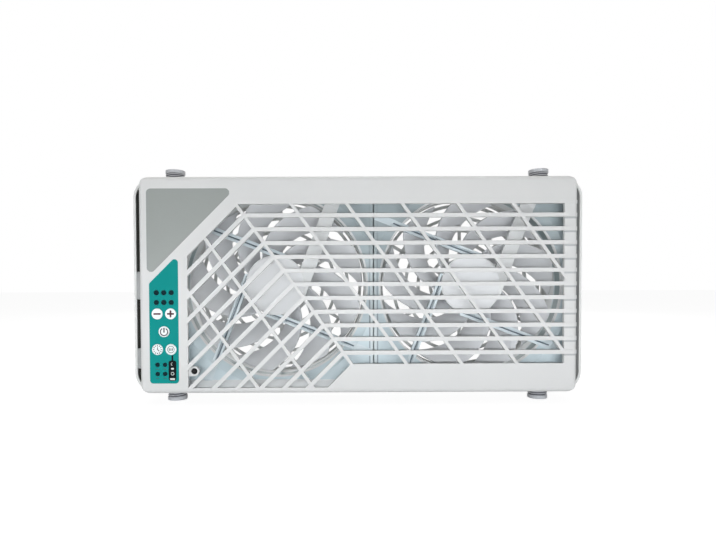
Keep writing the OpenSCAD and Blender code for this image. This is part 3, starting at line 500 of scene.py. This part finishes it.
def casing_materials():
    """Cover, housing, seals, clips and feet."""
    # The cover's white carries painted shade under each bar on the right border.
    plastic(
        "cover_white", (222, 222, 221), (213, 214, 214), rough=0.42, grain=1400.0, depth=0.12, gloss=0.4,
        layers=((BAR_SHADE, "Mask", (186, 188, 189), (178, 180, 182)),),
    )
    # The sill's finish is a whiter copy of the cover's white: painted light.
    plastic("sill_painted_light", (238, 239, 239), (230, 232, 232), rough=0.42, grain=1400.0, depth=0.12, gloss=0.4)
    plastic("housing_white", (224, 225, 223), (213, 214, 212), rough=0.5, grain=1000.0, depth=0.3, dust=0.15)
    plastic("badge_grey", (152, 157, 154), (145, 150, 147), rough=0.38, grain=2200.0, depth=0.15, sheen=0.15)
    # Seals: dark rubber whose near-black also stands in for the groove's shade as painted shade; their right
    # half is painted lighter as painted light.
    plastic(
        "seal_rubber", (44, 44, 42), (30, 30, 29), rough=0.85, grain=650.0, depth=0.6, gloss=0.2,
        layers=((LIT_RIGHT_HALF, "Mask", (124, 126, 126), (110, 112, 112)),),
    )
    plastic("clip_grey", (158, 160, 160), (146, 148, 148), rough=0.35, grain=1100.0, depth=0.2)
    plastic("foot_grey", (216, 217, 220), (202, 203, 207))
    # The thread's finish carries painted shade at the root of the thread.
    plastic(
        "thread_grey", (214, 215, 218), (200, 201, 205),
        layers=((THREAD_ROOT, "Mask", (96, 96, 104), (84, 84, 92)),),
    )


def panel_materials():
    """Overlay, keys, lamps, receiver and the inks printed on them."""
    plastic("teal_film", (4, 148, 144), (8, 138, 134), rough=0.6, grain=1800.0, depth=0.15, gloss=0.12)
    plastic("key_white", (240, 246, 246), (228, 237, 237), rough=0.3, grain=1600.0, depth=0.1, sheen=0.2)
    plastic("lamp_dark", (6, 44, 50), (3, 30, 36), rough=0.6, grain=500.0, depth=0.05, gloss=0.1)
    plastic("receiver_black", (16, 15, 18), (8, 8, 10), rough=0.3, grain=400.0, depth=0.02, gloss=0.25)
    plastic("sign_ink", (48, 38, 50), (38, 30, 42), rough=0.5, grain=1500.0, depth=0.1)
    plastic("sign_red", (84, 26, 42), (70, 22, 36), rough=0.5, grain=1500.0, depth=0.1)
    plastic("strip_ink", (8, 20, 24), (5, 14, 18), rough=0.6, grain=1500.0, depth=0.1, gloss=0.1)
    plastic("pale_ink", (226, 232, 230), (206, 214, 212), rough=0.5, grain=1500.0, depth=0.1)
    plastic("dim_ink", (14, 106, 104), (12, 92, 92), rough=0.5, grain=1500.0, depth=0.1)


def fan_materials():
    """Fan frames, blades and labels."""
    plastic(
        "frame_plastic", (206, 220, 225), (194, 209, 215), rough=0.34, grain=1000.0, dust=0.1,
        layers=(
            # Painted shade on the passage wall's front part, painted light on its rear part.
            (DUCT, "Front", (146, 164, 166), (134, 152, 155)),
            (DUCT, "Rear", (236, 240, 240), (226, 231, 232)),
            # Painted shade line, then painted highlight on the lip, where the frames meet.
            (FRAME_LIGHT_AND_SHADE, "Line", (156, 168, 175), (146, 158, 166)),
            (FRAME_LIGHT_AND_SHADE, "Highlit lip", (222, 231, 233), (212, 222, 225)),
            # Painted light on the frames' low edge.
            (FRAME_LIGHT_AND_SHADE, "Lit low edge", (234, 236, 236), (226, 229, 230)),
            # Painted shade, darker towards the top.
            (FRAME_LIGHT_AND_SHADE, "Top", (172, 184, 187), (160, 172, 176)),
            # The plate and broad strut keep their own tone; on the rim of the opening the same tone is a
            # painted highlight.
            (PLATE, "Mask", (226, 227, 226), (216, 218, 218)),
            # Painted highlight on the narrow struts' fronts, and painted shade in their groove.
            (STRUT_LIGHT_AND_SHADE, "Edges", (216, 226, 230), (206, 217, 222)),
            (STRUT_LIGHT_AND_SHADE, "Groove", (98, 112, 124), (84, 98, 110)),
        ),
    )
    plastic("blade_grey", (224, 225, 227), (213, 215, 218), rough=0.36, grain=1200.0, depth=0.2, dust=0.1)
    plastic("label_grey", (234, 235, 236), (226, 228, 230), rough=0.5, grain=2400.0, depth=0.1)


def inner_materials():
    """Board, leads, motors, screws, bushes and inlet."""
    plastic("board_green", (30, 96, 62), (24, 82, 52), rough=0.35, grain=700.0, depth=0.2)
    plastic("black_plastic", (34, 34, 36), (26, 26, 28), depth=0.3)
    plastic("lead_red", (178, 38, 30), (160, 30, 26), rough=0.4, grain=600.0, depth=0.2)
    plastic("lead_black", (30, 30, 32), (24, 24, 26), rough=0.4, grain=600.0, depth=0.2)
    plastic("magnet_dark", (58, 56, 56), (48, 46, 46), rough=0.6, grain=500.0, depth=0.4)
    metal("screw_steel", (186, 186, 188), rough=0.28)
    metal("motor_steel", (150, 151, 154), rough=0.4)
    metal("bright_steel", (206, 207, 209), rough=0.2)
    metal("pin_brass", (206, 188, 140), rough=0.25)
    metal("insert_brass", (196, 170, 112))
    metal("copper_wire", (186, 110, 62), streak=(1.0, 30.0, 1.0), rough=0.35, depth=0.5)


casing_materials()
panel_materials()
fan_materials()
inner_materials()

for part in frame["record"]["subparts"]:
    shown = nodes[part["node"]]
    shown.data.materials.clear()
    shown.data.materials.append(finish[part["material_slot"]])


# Tools for the pieces

JOIN_DISTANCE = 0.000002
CRISP_ANGLE = 32.0


def soften(bm):
    """Smooth faces, with the sharp edges kept crisp."""
    bmesh.ops.remove_doubles(bm, verts=bm.verts, dist=JOIN_DISTANCE)
    bmesh.ops.recalc_face_normals(bm, faces=bm.faces)
    limit = math.radians(CRISP_ANGLE)
    for face in bm.faces:
        face.smooth = True
    for edge in bm.edges:
        edge.smooth = len(edge.link_faces) == 2 and edge.calc_face_angle(0.0) < limit


def hand_over(bm, name, body, material):
    """Turns a finished bmesh into a piece that rides on a body."""
    soften(bm)
    mesh = bpy.data.meshes.new(name)
    bm.to_mesh(mesh)
    bm.free()
    piece = bpy.data.objects.new(name, mesh)
    bpy.context.scene.collection.objects.link(piece)
    mesh.materials.append(finish[material])
    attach(piece, body)
    return piece


def swept(bm, points, axis, turn, steps, rise=Vector((0, 0, 0)), closed=False):
    """Sweeps a closed or open row of points round an axis through the origin."""
    row = [bm.verts.new(p) for p in points]
    edges = [bm.edges.new((a, b)) for a, b in zip(row, row[1:])]
    if closed:
        edges.append(bm.edges.new((row[-1], row[0])))
    whole = abs(turn) >= 359.9 and rise.length == 0
    bmesh.ops.spin(
        bm, geom=row + edges, cent=(0, 0, 0), axis=axis, dvec=rise, angle=math.radians(turn),
        steps=steps, use_merge=whole, use_normal_flip=False, use_duplicate=False,
    )


def close_holes(bm):
    """Fills the open ends of a piece."""
    bmesh.ops.remove_doubles(bm, verts=bm.verts, dist=JOIN_DISTANCE)
    bmesh.ops.holes_fill(bm, edges=[e for e in bm.edges if e.is_boundary], sides=0)


# Feet


def seat_foot(bm, side, up):
    """Moves a piece made on the origin's axis to its foot; the cover's edge is at height 0."""
    if up < 0:
        bmesh.ops.rotate(bm, verts=bm.verts, cent=(0, 0, 0), matrix=Matrix.Rotation(math.pi, 3, "X"))
    bmesh.ops.translate(bm, verts=bm.verts, vec=(side * FOOT_X, FOOT_Y, MID_Z + up * COVER_HALF_H))


def threaded_foot(tag, side, up):
    """Foot screw: a true helix, cut flat at both ends, with a spigot under its pad."""
    low, high = -19.3 * MM, 6.0 * MM
    spigot_r, spigot_h, spigot_rise = 3 * MM, 2.4 * MM, 0.2 * MM
    start = low - 2 * THREAD_PITCH
    turns = int((high - start) / THREAD_PITCH) + 3
    steps = 36
    bm = bmesh.new()
    points = [
        Vector((radius, 0, start + share * THREAD_PITCH))
        for radius, share in (
            (THREAD_ROOT_R, 0), (THREAD_ROOT_R, 0.25), (THREAD_CREST_R, 0.54), (THREAD_CREST_R, 0.71),
            (THREAD_ROOT_R, 1),
        )
    ]
    swept(bm, points, (0, 0, 1), 360.0 * turns, steps * turns, Vector((0, 0, THREAD_PITCH / steps)))
    bmesh.ops.remove_doubles(bm, verts=bm.verts, dist=0.00001)
    for height, normal in ((low, (0, 0, -1)), (high, (0, 0, 1))):
        bmesh.ops.bisect_plane(
            bm, geom=bm.verts[:] + bm.edges[:] + bm.faces[:], dist=0.0000001,
            plane_co=(0, 0, height), plane_no=normal, clear_outer=True,
        )
        rim = [e for e in bm.edges if e.is_boundary and all(abs(v.co.z - height) < 1e-6 for v in e.verts)]
        bmesh.ops.holes_fill(bm, edges=rim, sides=0)
    bmesh.ops.create_cone(
        bm, cap_ends=True, segments=32, radius1=spigot_r, radius2=spigot_r, depth=spigot_h,
        matrix=Matrix.Translation((0, 0, high + spigot_rise)),
    )
    seat_foot(bm, side, up)
    piece = hand_over(bm, "foot_thread_" + tag, "foot_stud_" + tag, "thread_grey")
    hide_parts("foot_stud_" + tag)


def grooved_pad(tag, side, up):
    """Pad at the end of a foot: a short turned disc with grip grooves round it and a bore for the spigot."""
    face, back, bore_top, bore_r = 8.5 * MM, 6.1 * MM, 7.5 * MM, 3.15 * MM
    outer, groove_r, chamfer, back_chamfer = 7.0 * MM, 6.45 * MM, 0.25 * MM, 0.1 * MM
    points = [Vector((0, 0, face)), Vector((outer - chamfer, 0, face)), Vector((outer, 0, face - chamfer))]
    for middle in (7.75 * MM, 6.75 * MM):
        for radius, offset in ((outer, 0.3), (groove_r, 0.15), (groove_r, -0.15), (outer, -0.3)):
            points.append(Vector((radius, 0, middle + offset * MM)))
    points += [
        Vector((outer, 0, back + back_chamfer)), Vector((outer - back_chamfer, 0, back)),
        Vector((bore_r, 0, back)), Vector((bore_r, 0, bore_top)), Vector((0, 0, bore_top)),
    ]
    bm = bmesh.new()
    swept(bm, points, (0, 0, 1), 360, 64)
    seat_foot(bm, side, up)
    piece = hand_over(bm, "foot_disc_" + tag, "foot_pad_" + tag, "foot_grey")
    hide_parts("foot_pad_" + tag)


# Window and fans


def window_sill():
    """Sloping sill at the window's low edge, from behind the cover's rim to the fan frame; its whiter finish
    is painted light.
    """
    profile = ((5.6, 11.7), (9.7, 16.0), (9.7, 15.0), (6.4, 11.7))
    left, right = SILL_ENDS_X
    bm = bmesh.new()
    end = bm.faces.new([bm.verts.new((left, FRONT_Y + depth * MM, z * MM)) for depth, z in profile])
    grown = bmesh.ops.extrude_face_region(bm, geom=[end])
    far = [item for item in grown["geom"] if isinstance(item, bmesh.types.BMVert)]
    bmesh.ops.translate(bm, verts=far, vec=(right - left, 0, 0))
    hand_over(bm, "window_sill", "root", "sill_painted_light")


def blade_sheet(bm, turn):
    """One swept blade, laid out as a grid and bent into place, in the fan's own frame."""
    chord, span = 12, 18
    front, deep, set_back, tip_cut, camber = 5.6, 16.8, 0.08, 0.34, 1.6
    root_r, tip_r = BLADE_R
    made = bmesh.ops.create_grid(bm, x_segments=chord, y_segments=span, size=0.5)
    for vert in made["verts"]:
        along, out = vert.co.x + 0.5, vert.co.y + 0.5
        radius = root_r + out * (tip_r - root_r)
        angle = math.radians(turn + BLADE_SWEEP * out + (along - 0.5) * BLADE_COVER * BLADE_STEP)
        low = (front + deep * set_back * out) * MM
        high = (front + deep - deep * tip_cut * out) * MM
        hollow = camber * 4 * along * (1 - along) * MM
        depth = low + (high - low) * along - hollow
        vert.co = Vector((radius * math.cos(angle), depth, -radius * math.sin(angle)))


def impeller(side):
    """Nine blades on a turned hub that is open at the front."""
    hub = (
        (19.0, 5.2), (20.45, 5.2), (20.6, 5.35), (20.6, 22.2), (20.3, 22.9), (19.6, 24.0),
        (18.6, 24.2), (3.0, 24.2), (3.0, 23.4), (3.6, 22.6), (19.0, 22.6),
    )
    shaft_end_r, shaft_end = 3.05 * MM, 24.15 * MM
    bm = bmesh.new()
    for k in range(BLADE_COUNT):
        blade_sheet(bm, BLADE_START[side] + k * BLADE_STEP)
    bmesh.ops.recalc_face_normals(bm, faces=bm.faces)
    bmesh.ops.solidify(bm, geom=bm.faces[:], thickness=BLADE_THICK)
    swept(bm, [Vector((r * MM, d * MM, 0)) for r, d in hub], (0, 1, 0), 360, 72, closed=True)
    disc = bmesh.ops.create_circle(bm, cap_ends=True, segments=32, radius=shaft_end_r)
    for vert in disc["verts"]:
        vert.co = Vector((vert.co.x, shaft_end, vert.co.y))
    bmesh.ops.translate(bm, verts=bm.verts, vec=(FAN_X[side], FAN_FRONT_Y, MID_Z))
    piece = hand_over(bm, "blade_wheel_" + side, "rotor_" + side, "blade_grey")
    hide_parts("impeller_" + side)


# Printed signs

INK_THICK = 0.05 * MM
STRIP_THICK = 0.06 * MM
CORNER_SHARE = 0.3
KEY_PLACES = {
    "minus": (-4.7, 48.9), "plus": (4.7, 48.9), "power": (0.0, 36.4),
    "timer": (-4.7, 23.9), "mode": (4.7, 23.9),
}


def printed_bar(bm, x, z, width, height, y, turn=0.0, thick=INK_THICK):
    """A small rounded bar of ink, standing on the face at y."""
    made = bmesh.ops.create_cube(bm, size=1.0)
    verts = made["verts"]
    bmesh.ops.scale(bm, verts=verts, vec=(width, thick, height))
    uprights = {e for v in verts for e in v.link_edges if abs(e.verts[0].co.y - e.verts[1].co.y) > thick / 2}
    grown = bmesh.ops.bevel(
        bm, geom=list(uprights), offset=min(width, height) * CORNER_SHARE, offset_type="OFFSET",
        affect="EDGES", segments=3, profile=0.5, material=-1,
    )
    verts = list({v for v in verts if v.is_valid} | set(grown["verts"]))
    bmesh.ops.rotate(bm, verts=verts, cent=(0, 0, 0), matrix=Matrix.Rotation(math.radians(turn), 3, "Y"))
    bmesh.ops.translate(bm, verts=verts, vec=(x, y - thick / 2, z))


def printed_arc(bm, x, z, radius, width, y, start, sweep):
    """Ring or arc of ink; angles run from the right, upwards."""
    inner, outer = radius - width / 2, radius + width / 2
    outline = [
        Vector((inner, 0, 0)), Vector((outer, 0, 0)),
        Vector((outer, -INK_THICK, 0)), Vector((inner, -INK_THICK, 0)),
    ]
    before = set(bm.verts)
    swept(bm, outline, (0, 1, 0), -sweep, max(8, int(sweep / 10)), closed=True)
    if sweep < 359:
        close_holes(bm)
    fresh = [v for v in bm.verts if v not in before]
    bmesh.ops.rotate(bm, verts=fresh, cent=(0, 0, 0), matrix=Matrix.Rotation(-math.radians(start), 3, "Y"))
    bmesh.ops.translate(bm, verts=fresh, vec=(x, y, z))


def level_sign(bm, x, z, upright):
    """Minus, or plus with its upright."""
    length, stroke = 5.0 * MM, 1.25 * MM
    printed_bar(bm, x, z, length, stroke, KEY_FACE_Y)
    if upright:
        printed_bar(bm, x, z, stroke, length, KEY_FACE_Y)


def power_sign(bm, x, z):
    """Open ring with a short stroke in its gap."""
    printed_arc(bm, x, z - 0.1 * MM, 2.55 * MM, 0.75 * MM, KEY_FACE_Y, 118, 304)
    printed_bar(bm, x, z + 1.1 * MM, 0.9 * MM, 3.4 * MM, KEY_FACE_Y)


def clock_sign(bm, x, z):
    """Clock face of twelve strokes and two hands."""
    face_r, stroke, tick, hand = 2.7 * MM, 0.5 * MM, 0.9 * MM, 1.9 * MM
    for hour in range(12):
        turn = math.radians(hour * 30)
        printed_bar(
            bm, x + face_r * math.sin(turn), z + face_r * math.cos(turn), stroke, tick, KEY_FACE_Y, hour * 30
        )
    printed_bar(bm, x, z + 0.7 * MM, stroke, hand, KEY_FACE_Y)
    printed_bar(bm, x + 0.6 * MM, z - 0.5 * MM, stroke, hand, KEY_FACE_Y, 135)


def mode_sign(bm, x, z):
    """Ring round three short strokes."""
    stroke_gap = 1.05 * MM
    printed_arc(bm, x, z, 2.3 * MM, 0.35 * MM, KEY_FACE_Y, 0, 360)
    for k in (-1, 0, 1):
        printed_bar(bm, x + k * stroke_gap, z, 0.5 * MM, 1.7 * MM, KEY_FACE_Y)


def key_signs():
    """Plain signs on the five keys: less, more, on and off, clock, and mode."""
    for name, (dx, dz) in KEY_PLACES.items():
        x, z = PANEL_X + dx * MM, OVERLAY_LOW_Z + dz * MM
        bm = bmesh.new()
        if name in ("minus", "plus"):
            level_sign(bm, x, z, upright=name == "plus")
        elif name == "power":
            power_sign(bm, x, z)
        elif name == "timer":
            clock_sign(bm, x, z)
        else:
            mode_sign(bm, x, z)
        ink = "sign_red" if name in ("minus", "plus") else "sign_ink"
        hand_over(bm, "sign_" + name, "key_" + name, ink)


def overlay_marks():
    """Black strip with plain marks beside the timer lamps, and short dashes under the lamps."""
    low, y = OVERLAY_LOW_Z, OVERLAY_Y
    strip_x = PANEL_X + 5.6 * MM
    face = y - STRIP_THICK
    bm = bmesh.new()
    printed_bar(bm, strip_x, low + 9.0 * MM, 5.4 * MM, 14.4 * MM, y, thick=STRIP_THICK)
    printed_bar(bm, strip_x, low + 17.6 * MM, 1.1 * MM, 4.4 * MM, y, thick=STRIP_THICK)
    hand_over(bm, "legend_strip", "root", "strip_ink")
    bm = bmesh.new()
    printed_bar(bm, strip_x, low + 3.1 * MM, 3.4 * MM, 1.3 * MM, face)
    printed_bar(bm, strip_x, low + 10.4 * MM, 2.0 * MM, 1.2 * MM, face)
    printed_arc(bm, strip_x, low + 6.9 * MM, 1.0 * MM, 0.35 * MM, face, 0, 360)
    printed_arc(bm, strip_x, low + 13.7 * MM, 0.9 * MM, 0.35 * MM, face, 90, 180)
    hand_over(bm, "legend_marks", "root", "pale_ink")
    bm = bmesh.new()
    for dx in (-4.8, 0.4):
        for dz in (13.2, 6.7):
            printed_bar(bm, PANEL_X + dx * MM, low + (dz - 3.1) * MM, 2.2 * MM, 0.8 * MM, y)
    hand_over(bm, "lamp_dashes", "root", "dim_ink")


for tag, side, up in (("tl", -1, 1), ("tr", 1, 1), ("bl", -1, -1), ("br", 1, -1)):
    threaded_foot(tag, side, up)
    grooved_pad(tag, side, up)
window_sill()
for side in ("left", "right"):
    impeller(side)
key_signs()
overlay_marks()


# Floor, lights and camera

FLOOR_COLOUR = (0.82, 0.82, 0.82, 1)
FLOOR_GLOW = 1.16
FLOOR_GLOW_SHARE = 0.8
ROOM_LIGHT = 0.22
PICTURE_PX = (716, 540)
FOCAL_PX = 475.0
CENTRE_PX = (341, 294.9)
CAMERA_TURN = (90 - 1.205, 0.21, -0.19)
CAMERA_PLACE = (-13.4 * MM, FRONT_Y - 331.3 * MM, MID_Z)


def pale_floor():
    """Pale floor that keeps the object's shadow and looks white to the camera."""
    bm = bmesh.new()
    bmesh.ops.create_grid(bm, x_segments=1, y_segments=1, size=6.0)
    mesh = bpy.data.meshes.new("floor")
    bm.to_mesh(mesh)
    bm.free()
    floor = bpy.data.objects.new("floor", mesh)
    bpy.context.scene.collection.objects.link(floor)
    material = bpy.data.materials.new("floor_pale")
    material.use_nodes = True
    tree = material.node_tree
    tree.nodes.clear()
    plain = tree.nodes.new("ShaderNodeBsdfDiffuse")
    plain.inputs["Color"].default_value = FLOOR_COLOUR
    glow = tree.nodes.new("ShaderNodeEmission")
    glow.inputs["Color"].default_value = (1, 1, 1, 1)
    glow.inputs["Strength"].default_value = FLOOR_GLOW
    path = tree.nodes.new("ShaderNodeLightPath")
    blend = tree.nodes.new("ShaderNodeMixShader")
    out = tree.nodes.new("ShaderNodeOutputMaterial")
    tree.links.new(product(tree, path.outputs["Is Camera Ray"], FLOOR_GLOW_SHARE), blend.inputs[0])
    tree.links.new(plain.outputs[0], blend.inputs[1])
    tree.links.new(glow.outputs[0], blend.inputs[2])
    tree.links.new(blend.outputs[0], out.inputs["Surface"])
    mesh.materials.append(material)


def room_light():
    """Soft even light; the camera, gloss and glass see a white room."""
    world = bpy.data.worlds.new("studio")
    bpy.context.scene.world = world
    world.use_nodes = True
    tree = world.node_tree
    tree.nodes.clear()
    path = tree.nodes.new("ShaderNodeLightPath").outputs
    mirrored = calculate(tree, "MAXIMUM", path["Is Glossy Ray"], path["Is Transmission Ray"])
    seen = calculate(tree, "MAXIMUM", path["Is Camera Ray"], mirrored)
    back = tree.nodes.new("ShaderNodeBackground")
    back.inputs["Color"].default_value = (1, 1, 1, 1)
    tree.links.new(spread(tree, seen, (0.0, 1.0), (ROOM_LIGHT, 1.0)), back.inputs["Strength"])
    out = tree.nodes.new("ShaderNodeOutputWorld")
    tree.links.new(back.outputs[0], out.inputs["Surface"])


def soft_lamp(name, place, target, width, height, power, colour=(1, 1, 1)):
    """Rectangular lamp aimed at a point."""
    data = bpy.data.lights.new(name, "AREA")
    data.shape = "RECTANGLE"
    data.size, data.size_y = width, height
    data.energy = power
    data.color = colour
    lamp = bpy.data.objects.new(name, data)
    bpy.context.scene.collection.objects.link(lamp)
    lamp.location = place
    lamp.rotation_euler = (Vector(target) - Vector(place)).to_track_quat("-Z", "Y").to_euler()


def photo_camera():
    """Camera at the photograph's place, with its angle of view and its centre."""
    width, height = PICTURE_PX
    data = bpy.data.cameras.new("camera")
    camera = bpy.data.objects.new("camera", data)
    bpy.context.scene.collection.objects.link(camera)
    data.sensor_width = 36.0
    data.lens = FOCAL_PX / width * data.sensor_width
    data.shift_x = (width / 2 - CENTRE_PX[0]) / width
    data.shift_y = (CENTRE_PX[1] - height / 2) / width
    data.dof.use_dof = False
    data.clip_start, data.clip_end = 0.01, 50
    camera.location = CAMERA_PLACE
    camera.rotation_euler = [math.radians(angle) for angle in CAMERA_TURN]
    bpy.context.scene.camera = camera


pale_floor()
room_light()
soft_lamp("front_lamp", (-0.1, -1.3, 0.1), (0, 0, 0.06), 1.2, 0.4, 0.9)
soft_lamp("key_lamp", (-0.15, -1.0, 0.85), (0, 0, 0.085), 0.6, 0.4, 0.9, (1.0, 0.99, 0.97))
soft_lamp("low_lamp", (-0.02, -0.4, 0.06), (-0.02, -0.34, 0.0), 0.9, 0.04, 1.75, (0.94, 0.97, 1.0))
soft_lamp("top_lamp", (0.0, 0.1, 1.3), (0, 0, 0.085), 1.4, 0.8, 6, (1.0, 0.99, 0.96))
soft_lamp("back_lamp", (0.1, 1.1, 0.4), (0, 0, 0.085), 1.2, 0.5, 2.5)
photo_camera()
bpy.context.scene.view_settings.view_transform = "Standard"
